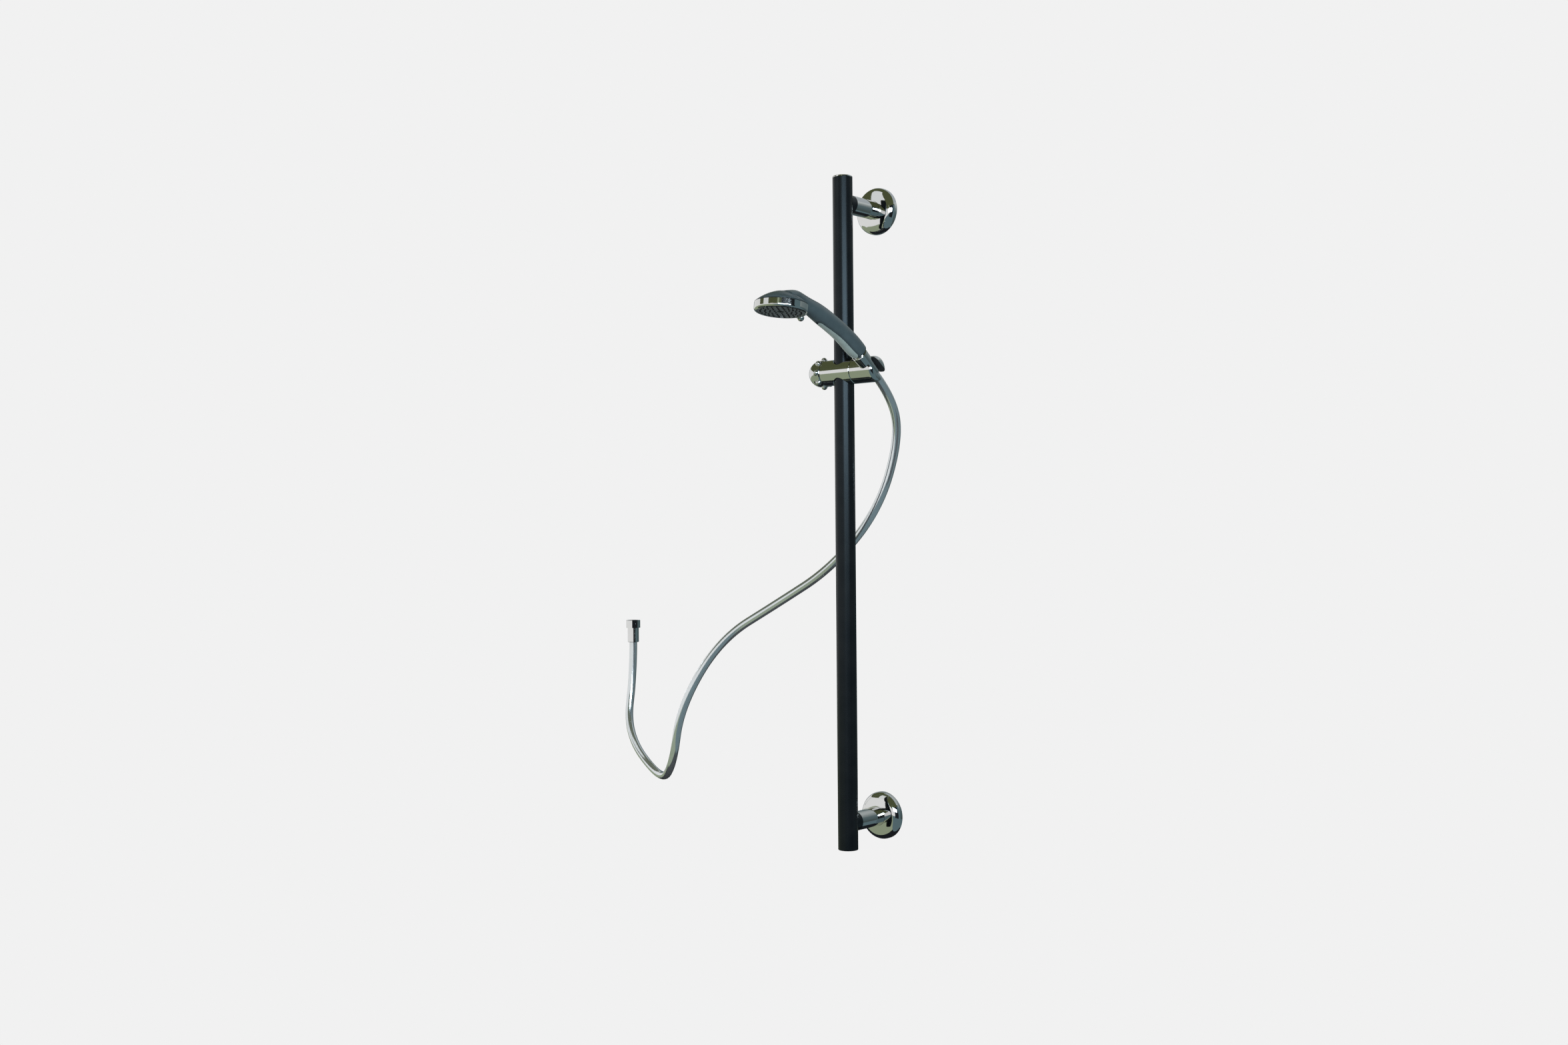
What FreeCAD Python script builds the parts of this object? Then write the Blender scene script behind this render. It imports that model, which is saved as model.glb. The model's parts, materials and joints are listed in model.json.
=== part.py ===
import FreeCAD, Part
import math
import os

# Shower slide rail with slider, handset and hose. Millimetres, +Z up the wall.
# The wall is the plane y = 0 and the room lies towards -Y. The origin is the centre of the
# lower wall plate's back face.

V = FreeCAD.Vector
X_AXIS = V(1, 0, 0)
Y_AXIS = V(0, 1, 0)
Z_AXIS = V(0, 0, 1)

# Rail
rail_od = 32.0
rail_wall = 2.0
post_spacing = 986.0
end_overhang = 43.0          # from a post's axis to the end of the rail, cap included
wall_offset = 94.0           # from the wall to the rail's axis
cap_thickness = 3.0
cap_crown = 0.8
cap_edge = 1.2
cap_spigot_length = 14.0
cap_spigot_wall = 2.5

# Posts and wall fixings
post_od = 30.0
post_bore = 22.0
post_web = 6.0
saddle_reach = 20.0          # from the rail's axis to the saddle's back face
plate_dia = 68.0
plate_thickness = 4.0
spigot_length = 30.0
spigot_wall = 3.0
screw_circle = 50.0
screw_hole = 5.5
screw_count = 3
screw_sink = 2.0             # depth of the screws' countersink
cover_dia = 76.0
cover_height = 18.0
cover_rim = 4.0
cover_edge = 12.4            # radius of the cover's rounded edge
cover_sweep = 75.0           # degrees of that edge
cover_crown = 0.35           # bulge of the cover's face
cover_sheet = 1.5
bolt_dia = 8.0
bolt_head_dia = 13.0
bolt_head_height = 8.0
bolt_socket = 6.0
washer_od = 15.0
washer_thickness = 1.6
rail_nut_dia = 17.0
rail_nut_height = 8.0
grub_dia = 5.0
grub_from_wall = 28.0
grub_recess = 0.6

# Slider
slider_height = 716.0
slider_dia = 41.0
slider_left = 35.0           # from the rail's axis to the knob's end of the housing
slider_parting = 24.5        # from the rail's axis to the joint with the holder
edge_break = 0.6
bush_wall = 1.6
bush_inset = 0.3
bush_window = 57.0           # half angle left open for the brake pad
hub_dia = 18.0
hub_length = 7.0
snap_wire = 1.1
snap_from_face = 3.5
plunger_dia = 10.0
plunger_travel = 1.1         # of the knob's full turn, away from the rail
pad_dia = 7.4
pad_thickness = 4.8
pad_stem_dia = 3.0
pad_stem_length = 4.0
thread_dia = 8.0
thread_length = 12.0
thread_spare = 4.0

# Clamp knob
knob_dia = 43.0
knob_skirt = 9.2
knob_nubs = 8
nub_dia = 9.8
nub_circle = 42.0
nub_from_face = 5.2

# Handset holder
holder_end = 69.5            # from the rail's axis to the holder's free end
holder_rounding = 8.0
tilt_gap = 0.5
tilt_washer_thickness = 0.4
tilt_washer_dia = 28.0
pivot_dia = 12.0
pivot_length = 8.5
pivot_head_dia = 18.0
pivot_head_height = 4.0
pivot_thread_dia = 8.0
pivot_thread_length = 6.0
pivot_socket = 6.0
seat_across = 54.0           # from the rail's axis to the seat's axis
seat_dia = 22.0              # where the seat crosses the slider's axis
seat_taper = 3.0             # half angle, degrees
slot_width = 19.0
handset_tilt = 35.0          # handle's axis above the horizontal

# Hose and its two nuts
hose_dia = 14.0
ferrule_dia = 16.8
ferrule_length = 16.0
ferrule_bore = 8.0
seal_dia = 18.0
seal_thickness = 2.5
seal_bore = 9.0
pipe_thread_dia = 20.0
pipe_thread_length = 18.0
nut_throat = 8.0             # length of the nut around the hose
ferrule_above_seat = 1.2     # from the slider's axis up to the ferrule
wall_nut_dia = 26.0
wall_nut_flats = 24.0
wall_nut_hex = 14.0
wall_nut_thread = 13.5
hose_first_run = 70.0
hose_last_run = 64.0
hose_arc_share = 0.45        # of the shorter run that an arc takes up
outlet_left = 544.0          # of the rail's axis
outlet_from_wall = 38.0
outlet_height = 273.0

# Handset
nipple_flange = 2.0
nipple_flange_dia = 21.0
nipple_tail = 16.0
nipple_tail_dia = 16.0
nipple_bore = 10.0
handle_straight = 40.5       # from the slider's axis to the start of the handle's bend
handle_bend = 438.0
handle_wall = 3.0
handle_end_dia = 26.8
handle_end_lift = 2.3        # of a section's centre from the centre line to the upper side
handle_swell_dia = 30.0
handle_swell_lift = 1.0
handle_grip_dia = 28.6
handle_neck_dia = 23.4
handle_length = 166.0        # along the handle, from its end to the neck's last section
head_along = 215.5           # from the slider's axis along the handle's axis to the face
head_drop = 69.9             # and square to it, towards the spray side
head_angle = 28.4            # between the spray face and the handle's axis
head_dia = 80.0
ring_height = 13.0
ring_wall = 4.6
ring_rounding = 4.0
ring_lip = 1.4
ring_gap = 0.3
head_height = 32.0
dome_wall = 2.6
dome_middle = (27.5, 22.5)   # radius and height of a point half way up the dome
dome_crown = (13.0, 29.5)    # where the crown's smaller arc starts
dome_crown_middle = (6.5, 31.3)
lever_ball_dia = 10.4
lever_reach = 45.8
lever_height = 2.0
lever_stem_dia = 6.0
plate_recess = 1.0
spray_plate_thickness = 4.0
mat_thickness = 2.0
nozzle_dia = 2.5
nozzle_proud = 1.4
nozzle_ring_count = 4
nozzle_first_ring = 9.5      # radius
nozzle_ring_pitch = 7.0
nozzles_per_ring = 6         # on the first ring, and more by as many on each next one
distributor_gap = 2.5
distributor_thickness = 4.5
distributor_lip = 1.6
distributor_ports = 6
distributor_port_dia = 8.0
distributor_port_circle = 40.0
boss_dia = 12.0
face_screw_dia = 4.0
face_screw_head_dia = 10.0
face_screw_head = 2.0
face_screw_grip = 10.0
inlay_length = 105.0
inlay_width = 16.5
inlay_tip_width = 9.0
inlay_bulge = 0.8            # of each side, half way along its taper
inlay_slit = 5.0             # open end of the recess beyond the inlay
inlay_centre = 94.0          # along the handle from the slider's axis
inlay_thickness = 1.8
inlay_proud = 0.3

# Clearances, each on the radius or between two faces
push_fit = 0.05
running_fit = 0.06
loose_fit = 0.2
seat_fit = 0.15

# Sizes that follow
rail_radius = rail_od / 2
rail_bore_radius = rail_radius - rail_wall
rail_axis = V(0, -wall_offset, 0)
slider_radius = slider_dia / 2
slider_centre = V(0, -wall_offset, slider_height)
bush_inner = rail_radius + running_fit
bush_outer = bush_inner + bush_wall
slider_bore = bush_outer + push_fit
seat_centre = V(seat_across, -wall_offset, slider_height)
seat_frame = FreeCAD.Placement(seat_centre, FreeCAD.Rotation(X_AXIS, 90 - handset_tilt))
head_radius = head_dia / 2
head_centre = V(0, -head_drop, head_along)
head_up = V(0, math.cos(math.radians(head_angle)), math.sin(math.radians(head_angle)))

parts = {}


def outline(start, *steps):
    """Closed profile of (radius, height) points: a point draws a line to it, and a pair of
    points draws an arc through the first to the second."""
    edges = []
    here = V(start[0], 0, start[1])
    for step in steps + (start,):
        if isinstance(step[0], tuple):
            middle = V(step[0][0], 0, step[0][1])
            end = V(step[1][0], 0, step[1][1])
            edges.append(Part.Arc(here, middle, end).toShape())
        else:
            end = V(step[0], 0, step[1])
            edges.append(Part.makeLine(here, end))
        here = end
    return Part.Wire(edges)


def turned(profile, base=V(0, 0, 0), direction=Z_AXIS):
    """Solid of revolution of a profile whose height runs along direction from base."""
    solid = Part.Face(profile).revolve(V(0, 0, 0), Z_AXIS, 360)
    solid.Placement = FreeCAD.Placement(base, FreeCAD.Rotation(Z_AXIS, direction))
    return solid


def rod(dia, start, direction, length):
    return Part.makeCylinder(dia / 2, length, start, direction)


def ring(outer_dia, inner_dia, start, direction, length):
    return rod(outer_dia, start, direction, length).cut(rod(inner_dia, start, direction, length))


def polar(centre, radius, degrees):
    angle = math.radians(degrees)
    return (centre[0] + radius * math.cos(angle), centre[1] + radius * math.sin(angle))


def prism(sides, across_flats, start, direction, length):
    """Regular prism across its flats, such as a hexagon socket or nut."""
    corner = across_flats / 2 / math.cos(math.pi / sides)
    points = []
    for i in range(sides + 1):
        angle = 2 * math.pi * i / sides
        points.append(V(corner * math.cos(angle), corner * math.sin(angle), 0))
    solid = Part.Face(Part.makePolygon(points)).extrude(V(0, 0, length))
    solid.Placement = FreeCAD.Placement(start, FreeCAD.Rotation(Z_AXIS, direction))
    return solid


def around(shape, count, centre, axis):
    """Copies of a shape, evenly spaced about an axis."""
    copies = []
    for i in range(count):
        copy = shape.copy()
        copy.rotate(centre, axis, 360.0 * i / count)
        copies.append(copy)
    return Part.makeCompound(copies)


def seated(shape):
    """Moves a shape from the handset's own frame, Z along the handle, into the holder."""
    shape.Placement = seat_frame.multiply(shape.Placement)
    return shape


# Rail tube and end caps

tube_start = V(0, -wall_offset, cap_thickness - end_overhang)
tube_length = post_spacing + 2 * (end_overhang - cap_thickness)


def make_rail_tube():
    tube = ring(rail_od, rail_od - 2 * rail_wall, tube_start, Z_AXIS, tube_length)
    for height in (0, post_spacing):
        tube = tube.cut(rod(bolt_dia + 2 * loose_fit, V(0, -wall_offset, height), Y_AXIS, rail_od))
    return tube


def make_end_cap(end, direction):
    spigot = rail_bore_radius - push_fit
    hollow = spigot - cap_spigot_wall
    shoulder = cap_thickness - cap_crown
    edge_centre = (rail_radius - cap_edge, shoulder - cap_edge)
    profile = outline(
        (0, cap_thickness),
        ((rail_radius / 2, cap_thickness - cap_crown / 4), (rail_radius - cap_edge, shoulder)),
        (polar(edge_centre, cap_edge, 45), (rail_radius, shoulder - cap_edge)),
        (rail_radius, 0),
        (spigot, 0),
        (spigot, -cap_spigot_length),
        (hollow, -cap_spigot_length),
        (hollow, 0),
        (0, 0),
    )
    return turned(profile, end, direction)


parts["rail_tube"] = make_rail_tube()
parts["bottom_end_cap"] = make_end_cap(tube_start, V(0, 0, -1))
parts["top_end_cap"] = make_end_cap(tube_start + Z_AXIS * tube_length, Z_AXIS)

# Posts: each is built about the point where its axis crosses the rail's axis

plate_face = wall_offset - plate_thickness
web_back = saddle_reach + post_web
head_face = web_back + washer_thickness


def make_saddle(centre):
    collar = rod(post_od, centre, Y_AXIS, saddle_reach)
    collar = collar.cut(rod(rail_od, centre - Z_AXIS * rail_od, Z_AXIS, 2 * rail_od))
    return collar.cut(rod(bolt_dia + 2 * loose_fit, centre, Y_AXIS, saddle_reach))


def make_post(centre):
    front = centre + Y_AXIS * saddle_reach
    post = rod(post_od, front, Y_AXIS, plate_face - saddle_reach)
    post = post.cut(rod(post_bore, centre + Y_AXIS * web_back, Y_AXIS, wall_offset))
    post = post.cut(rod(bolt_dia + 2 * loose_fit, front, Y_AXIS, post_web))
    grub_hole = rod(grub_dia + 2 * push_fit, centre + Y_AXIS * (wall_offset - grub_from_wall),
                    V(0, 0, -1), post_od)
    return post.cut(grub_hole)


def make_wall_plate(centre):
    back = centre + Y_AXIS * wall_offset
    spigot_dia = post_bore - 2 * push_fit
    plate = rod(plate_dia, back, V(0, -1, 0), plate_thickness)
    plate = plate.fuse(rod(spigot_dia, back, V(0, -1, 0), plate_thickness + spigot_length))
    hole_at = back + X_AXIS * (screw_circle / 2)
    sink_at = hole_at - Y_AXIS * plate_thickness
    hole = rod(screw_hole, hole_at, V(0, -1, 0), plate_thickness)
    sink = Part.makeCone(screw_hole / 2 + screw_sink, screw_hole / 2, screw_sink, sink_at, Y_AXIS)
    plate = plate.cut(around(hole.fuse(sink), screw_count, back, Y_AXIS))
    return plate.cut(rod(spigot_dia - 2 * spigot_wall, back, V(0, -1, 0), wall_offset))


def make_cover(centre):
    radius = cover_dia / 2
    hole = post_od / 2 + loose_fit
    arc_centre = (radius - cover_edge, cover_rim)
    inner_edge = cover_edge - cover_sheet
    outer_end = polar(arc_centre, cover_edge, cover_sweep)
    inner_end = polar(arc_centre, inner_edge, cover_sweep)
    outer_crown = ((outer_end[0] + hole) / 2, (outer_end[1] + cover_height) / 2 + cover_crown)
    inner_top = cover_height - cover_sheet
    inner_crown = ((inner_end[0] + hole) / 2, (inner_end[1] + inner_top) / 2 + cover_crown)
    profile = outline(
        (radius, 0),
        (radius, cover_rim),
        (polar(arc_centre, cover_edge, cover_sweep / 2), outer_end),
        (outer_crown, (hole, cover_height)),
        (hole, inner_top),
        (inner_crown, inner_end),
        (polar(arc_centre, inner_edge, cover_sweep / 2), (radius - cover_sheet, cover_rim)),
        (radius - cover_sheet, 0),
    )
    return turned(profile, centre + Y_AXIS * wall_offset, V(0, -1, 0))


def make_rail_bolt(centre):
    tip = rail_bore_radius - rail_nut_height
    bolt = rod(bolt_dia, centre + Y_AXIS * tip, Y_AXIS, head_face - tip)
    bolt = bolt.fuse(rod(bolt_head_dia, centre + Y_AXIS * head_face, Y_AXIS, bolt_head_height))
    socket_at = centre + Y_AXIS * (head_face + bolt_head_height / 2)
    return bolt.removeSplitter().cut(prism(6, bolt_socket, socket_at, Y_AXIS, bolt_head_height))


def make_rail_nut(centre):
    base = centre + Y_AXIS * (rail_bore_radius - rail_nut_height)
    block = rod(rail_nut_dia, base, Y_AXIS, rail_nut_height)
    inside = rod(2 * rail_bore_radius, centre - Z_AXIS * rail_nut_dia, Z_AXIS, 2 * rail_nut_dia)
    return block.common(inside).cut(rod(bolt_dia + 2 * push_fit, base, Y_AXIS, rail_nut_height))


def make_lock_washer(centre):
    face = centre + Y_AXIS * web_back
    return ring(washer_od, bolt_dia + 2 * loose_fit, face, Y_AXIS, washer_thickness)


def make_grub_screw(centre):
    start = centre + Y_AXIS * (wall_offset - grub_from_wall) - Z_AXIS * (post_bore / 2)
    length = (post_od - post_bore) / 2 - grub_recess
    screw = rod(grub_dia, start, V(0, 0, -1), length)
    socket_at = start - Z_AXIS * length
    return screw.cut(prism(6, grub_dia / 2, socket_at, Z_AXIS, length / 2))


for side, height in (("lower", 0.0), ("upper", post_spacing)):
    crossing = V(0, -wall_offset, height)
    parts[side + "_saddle"] = make_saddle(crossing)
    parts[side + "_post"] = make_post(crossing)
    parts[side + "_wall_plate"] = make_wall_plate(crossing)
    parts[side + "_cover"] = make_cover(crossing)
    parts[side + "_rail_bolt"] = make_rail_bolt(crossing)
    parts[side + "_rail_nut"] = make_rail_nut(crossing)
    parts[side + "_lock_washer"] = make_lock_washer(crossing)
    parts[side + "_grub_screw"] = make_grub_screw(crossing)

# Slider: turned about the slider's axis, heights along +X from the rail's axis

hub_end = slider_left + hub_length
snap_at = slider_left + snap_from_face
snap_half = snap_wire / 2 + loose_fit
snap_circle = hub_dia / 2
plunger_flat = thread_dia / 2 + loose_fit
pad_back = bush_inner + pad_thickness
bar_start = plunger_travel + ring_gap - hub_end


def across(distance):
    """Point on the slider's axis at a distance from the rail's axis."""
    return slider_centre + X_AXIS * distance


def plunger_section(clearance, start, length):
    """Round bar with one flat, as the plunger and the bore that keeps it from turning."""
    bar = rod(plunger_dia + 2 * clearance, across(start), X_AXIS, length)
    above = across(start) + V(0, -plunger_dia, plunger_flat + clearance)
    return bar.cut(Part.makeBox(length, 2 * plunger_dia, plunger_dia, above))


def make_slider_body():
    groove = hub_dia / 2 - snap_wire / 2 - running_fit
    profile = outline(
        (0, -hub_end),
        (hub_dia / 2, -hub_end),
        (hub_dia / 2, -snap_at - snap_half),
        (groove, -snap_at - snap_half),
        (groove, -snap_at + snap_half),
        (hub_dia / 2, -snap_at + snap_half),
        (hub_dia / 2, -slider_left),
        (slider_radius - edge_break, -slider_left),
        (slider_radius, edge_break - slider_left),
        (slider_radius, slider_parting - edge_break),
        (slider_radius - edge_break, slider_parting),
        (0, slider_parting),
    )
    body = turned(profile, slider_centre, X_AXIS)
    body = body.cut(rod(2 * slider_bore, slider_centre - Z_AXIS * slider_dia, Z_AXIS, 2 * slider_dia))
    body = body.cut(plunger_section(running_fit, -hub_end, hub_end))
    pivot_hole = pivot_thread_length + loose_fit
    return body.cut(rod(pivot_thread_dia + 2 * push_fit, across(slider_parting - pivot_hole),
                        X_AXIS, pivot_hole))


def make_slider_bush():
    half = math.sqrt(slider_radius ** 2 - slider_bore ** 2) - bush_inset
    start = slider_centre - Z_AXIS * half
    bush = ring(2 * bush_outer, 2 * bush_inner, start, Z_AXIS, 2 * half)
    window_edge = bush_outer * math.cos(math.radians(bush_window))
    corner = slider_centre + V(-2 * bush_outer - window_edge, -bush_outer, -half)
    return bush.cut(Part.makeBox(2 * bush_outer, 2 * bush_outer, 2 * half, corner))


def make_clamp_plunger():
    front = -pad_back
    bar = plunger_section(0, bar_start, front - bar_start)
    tail = rod(thread_dia, across(bar_start - thread_length), X_AXIS, thread_length)
    socket = rod(pad_stem_dia + 2 * push_fit, across(front - pad_stem_length), X_AXIS, pad_stem_length)
    return bar.fuse(tail).cut(socket)


def make_brake_pad():
    pad = rod(pad_dia, across(-pad_back), X_AXIS, pad_back)
    face = rod(2 * (rail_radius + 2 * running_fit), slider_centre - Z_AXIS * pad_dia, Z_AXIS, 2 * pad_dia)
    stem = rod(pad_stem_dia, across(-pad_back - pad_stem_length), X_AXIS, pad_stem_length)
    return pad.cut(face).fuse(stem)


def make_snap_ring():
    return Part.makeTorus(snap_circle, snap_wire / 2, across(-snap_at), X_AXIS)


def make_clamp_knob():
    face = slider_left + ring_gap
    bore = hub_dia / 2 + running_fit
    groove = hub_dia / 2 + snap_wire / 2 + running_fit
    radius = knob_dia / 2
    dome_centre = (0, face + knob_skirt)
    thread_end = hub_end + thread_length + thread_spare
    profile = outline(
        (bore, face),
        (radius - 2 * edge_break, face),
        (radius, face + 2 * edge_break),
        (radius, dome_centre[1]),
        (polar(dome_centre, radius, 45), (0, dome_centre[1] + radius)),
        (0, thread_end),
        (thread_dia / 2 + running_fit, thread_end),
        (thread_dia / 2 + running_fit, hub_end + ring_gap),
        (bore, hub_end + ring_gap),
        (bore, snap_at + snap_half),
        (groove, snap_at + snap_half),
        (groove, snap_at - snap_half),
        (bore, snap_at - snap_half),
    )
    knob = turned(profile, slider_centre, V(-1, 0, 0))
    nub_at = across(-face - nub_from_face) - Z_AXIS * (nub_circle / 2)
    nubs = around(Part.makeSphere(nub_dia / 2, nub_at), knob_nubs, slider_centre, X_AXIS)
    return knob.fuse(nubs.Solids)


parts["slider_body"] = make_slider_body()
parts["slider_bush"] = make_slider_bush()
parts["clamp_plunger"] = make_clamp_plunger()
parts["brake_pad"] = make_brake_pad()
parts["knob_snap_ring"] = make_snap_ring()
parts["clamp_knob"] = make_clamp_knob()

# Handset holder and its pivot

holder_start = slider_parting + tilt_gap
pivot_end = slider_parting + pivot_length


def seat_radius(height, clearance):
    """Radius of the tapered seat at a height along the handset's axis."""
    return seat_dia / 2 + clearance + height * math.tan(math.radians(seat_taper))


def make_holder_body():
    profile = outline(
        (0, holder_start),
        (slider_radius - edge_break, holder_start),
        (slider_radius, holder_start + edge_break),
        (slider_radius, holder_end - holder_rounding),
        (polar((slider_radius - holder_rounding, holder_end - holder_rounding), holder_rounding, 45),
         (slider_radius - holder_rounding, holder_end)),
        (0, holder_end),
    )
    body = turned(profile, slider_centre, X_AXIS)
    body = body.cut(rod(pivot_dia + 2 * running_fit, across(holder_start), X_AXIS, pivot_length))
    body = body.cut(rod(pivot_head_dia + 2 * loose_fit, across(pivot_end - push_fit), X_AXIS,
                        seat_across - pivot_end))
    seat = Part.makeCone(seat_radius(-slider_dia, 0), seat_radius(slider_dia, 0), 2 * slider_dia,
                         V(0, 0, -slider_dia), Z_AXIS)
    slot = Part.makeBox(holder_end, slot_width, 2 * slider_dia, V(0, -slot_width / 2, -slider_dia))
    return body.cut(seated(seat.fuse(slot)))


def make_pivot_screw():
    screw = rod(pivot_thread_dia, across(slider_parting - pivot_thread_length), X_AXIS, pivot_thread_length)
    screw = screw.fuse(rod(pivot_dia, across(slider_parting), X_AXIS, pivot_length))
    screw = screw.fuse(rod(pivot_head_dia, across(pivot_end), X_AXIS, pivot_head_height))
    socket_at = across(pivot_end + pivot_head_height)
    return screw.cut(prism(6, pivot_socket, socket_at, V(-1, 0, 0), pivot_head_height))


def make_tilt_washer():
    return ring(tilt_washer_dia, pivot_dia + 2 * loose_fit, across(slider_parting), X_AXIS,
                tilt_washer_thickness)


parts["holder_body"] = make_holder_body()
parts["pivot_screw"] = make_pivot_screw()
parts["tilt_washer"] = make_tilt_washer()

# Hose fittings: heights along the fitting's axis, from the ferrule's face on the hose

seal_base = ferrule_length
thread_base = ferrule_length + seal_thickness
throat_radius = hose_dia / 2 + loose_fit
nut_start = -nut_throat
chamber_radius = seal_dia / 2 + push_fit
cone_nut_end = thread_base + pipe_thread_length


def make_ferrule():
    return ring(ferrule_dia, ferrule_bore, V(0, 0, 0), Z_AXIS, ferrule_length)


def make_seal():
    return ring(seal_dia, seal_bore, V(0, 0, seal_base), Z_AXIS, seal_thickness)


def nut_bore(end):
    """Stepped bore of a hose nut: throat, chamber for the ferrule, thread."""
    thread_radius = pipe_thread_dia / 2
    return turned(outline(
        (0, nut_start),
        (throat_radius, nut_start),
        (throat_radius, 0),
        (chamber_radius, 0),
        (chamber_radius, thread_base),
        (thread_radius, thread_base),
        (thread_radius, end),
        (0, end),
    ))


def make_cone_nut():
    low = seat_radius(nut_start + ferrule_above_seat, -seat_fit)
    high = seat_radius(cone_nut_end + ferrule_above_seat, -seat_fit)
    body = turned(outline(
        (0, nut_start),
        (low - edge_break, nut_start),
        (low, nut_start + edge_break),
        (high, cone_nut_end - edge_break),
        (high - edge_break, cone_nut_end),
        (0, cone_nut_end),
    ))
    return body.cut(nut_bore(cone_nut_end))


def make_wall_nut():
    end = thread_base + wall_nut_thread
    collar = rod(wall_nut_dia, V(0, 0, end - wall_nut_hex), Z_AXIS, wall_nut_hex)
    hexagon = prism(6, wall_nut_flats, V(0, 0, end - wall_nut_hex), Z_AXIS, wall_nut_hex)
    sleeve_radius = seal_dia / 2 + 2 * edge_break
    sleeve = turned(outline(
        (0, nut_start),
        (sleeve_radius - edge_break, nut_start),
        (sleeve_radius, nut_start + edge_break),
        (sleeve_radius, end - wall_nut_hex / 2),
        (0, end - wall_nut_hex / 2),
    ))
    return collar.common(hexagon).fuse(sleeve).removeSplitter().cut(nut_bore(end))


def on_ferrule(shape):
    """Moves an upper fitting so that the ferrule's face lies above the seat's centre."""
    shape.translate(V(0, 0, ferrule_above_seat))
    return seated(shape)


# Hose route: out of the nut, back towards the wall, behind the rail, down to the left and
# up again to the wall outlet

hose_end = V(-outlet_left, -outlet_from_wall, outlet_height)
hose_start = seat_frame.multVec(V(0, 0, ferrule_above_seat))
hose_bend = seat_frame.multVec(V(0, 0, ferrule_above_seat - hose_first_run))
hose_points = [
    hose_start,
    hose_bend,
    V(52, -20, 607),
    V(20, -33, 496),
    V(-68, -47, 402),
    V(-167, -67, 344),
    V(-267, -102, 282),
    V(-326, -138, 168),
    V(-347, -136, 66),
    V(-427, -84, 25),
    V(-538, -63, 99),
    hose_end - Z_AXIS * hose_last_run,
    hose_end,
]


def hose_path():
    """Straight runs joined by tangent arcs, each as large as its two runs allow."""
    edges = []
    here = hose_points[0]
    for before, corner, after in zip(hose_points, hose_points[1:], hose_points[2:]):
        back = before - corner
        ahead = after - corner
        half_turn = (math.pi - back.getAngle(ahead)) / 2
        setback = hose_arc_share * min(back.Length, ahead.Length)
        radius = setback / math.tan(half_turn)
        back.normalize()
        ahead.normalize()
        bisector = back + ahead
        bisector.normalize()
        first = corner + back * setback
        last = corner + ahead * setback
        middle = corner + bisector * (radius / math.cos(half_turn) - radius)
        edges.append(Part.LineSegment(here, first).toShape())
        edges.append(Part.Arc(first, middle, last).toShape())
        print("hose radius %.0f mm, turn %.0f degrees" % (radius, 2 * math.degrees(half_turn)))
        here = last
    edges.append(Part.LineSegment(here, hose_points[-1]).toShape())
    return Part.Wire(edges)


def make_hose():
    path = hose_path()
    direction = hose_points[1] - hose_points[0]
    section = Part.Wire(Part.makeCircle(hose_dia / 2, hose_points[0], direction))
    tube = path.makePipeShell([section], True, True)
    expected = math.pi * hose_dia ** 2 / 4 * path.Length
    ratio = tube.Volume / expected
    print("hose length %.0f mm, volume over section times length %.4f" % (path.Length, ratio))
    return tube


def on_wall(shape):
    """Moves a lower fitting to the hose's end, which points up."""
    shape.translate(hose_end)
    return shape


parts["hose"] = make_hose()
parts["cone_nut"] = on_ferrule(make_cone_nut())
parts["upper_ferrule"] = on_ferrule(make_ferrule())
parts["upper_seal"] = on_ferrule(make_seal())
parts["wall_nut"] = on_wall(make_wall_nut())
parts["lower_ferrule"] = on_wall(make_ferrule())
parts["lower_seal"] = on_wall(make_seal())

# Handset, in its own frame: Z along the handle from the seat's centre, +Y its upper side

nipple_start = thread_base + ferrule_above_seat + push_fit
nipple_shoulder = cone_nut_end + ferrule_above_seat + ring_gap
handle_start = nipple_shoulder + nipple_flange
neck_end = handle_start + handle_length


def along_handle(distance):
    """Point on the handle's centre line and the turn of its direction there, in radians."""
    bend = distance - handle_straight
    if bend <= 0:
        return V(0, 0, distance), 0.0
    turn = bend / handle_bend
    return V(0, -handle_bend * (1 - math.cos(turn)), handle_straight + handle_bend * math.sin(turn)), turn


def handle_section(distance, half_width, half_height, sink=0.0):
    """Elliptical cross-section of the handle, square to its centre line."""
    centre, turn = along_handle(distance)
    upper = V(0, math.cos(turn), math.sin(turn))
    wire = Part.Wire(Part.Ellipse(V(0, 0, 0), half_width, half_height).toShape())
    wire.Placement = FreeCAD.Placement(centre - upper * sink, FreeCAD.Rotation(X_AXIS, math.degrees(turn)))
    return wire


def handle_loft(offset, head_sections):
    """Handle as a loft of round sections, its surface moved outwards by offset."""
    stations = (
        (0.00, handle_end_dia, handle_end_lift),
        (0.03, (handle_end_dia + handle_swell_dia) / 2, (handle_end_lift + handle_swell_lift) / 2),
        (0.16, handle_swell_dia, handle_swell_lift),
        (0.50, handle_grip_dia, 0),
        (0.74, (handle_grip_dia + handle_neck_dia) / 2, 0),
        (0.89, handle_neck_dia, 0),
    )
    sections = []
    for share, dia, lift in stations:
        radius = dia / 2 + offset
        sections.append(handle_section(handle_start + handle_length * share, radius, radius, -lift))
    for distance, half_width, half_height, sink in head_sections:
        sections.append(handle_section(neck_end + distance, half_width + offset, half_height + offset, sink))
    return Part.makeLoft(sections, True, False)


neck_half = handle_neck_dia / 2
# How the neck spreads into the head: distance past the neck, half width, half height, sink
neck_spread = (
    (0.0, neck_half * 1.3, neck_half * 0.95, 0.0),
    (16.0, neck_half * 1.85, neck_half * 0.82, 1.8),
    (36.0, neck_half * 2.1, neck_half * 0.65, 7.0),
)


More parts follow.
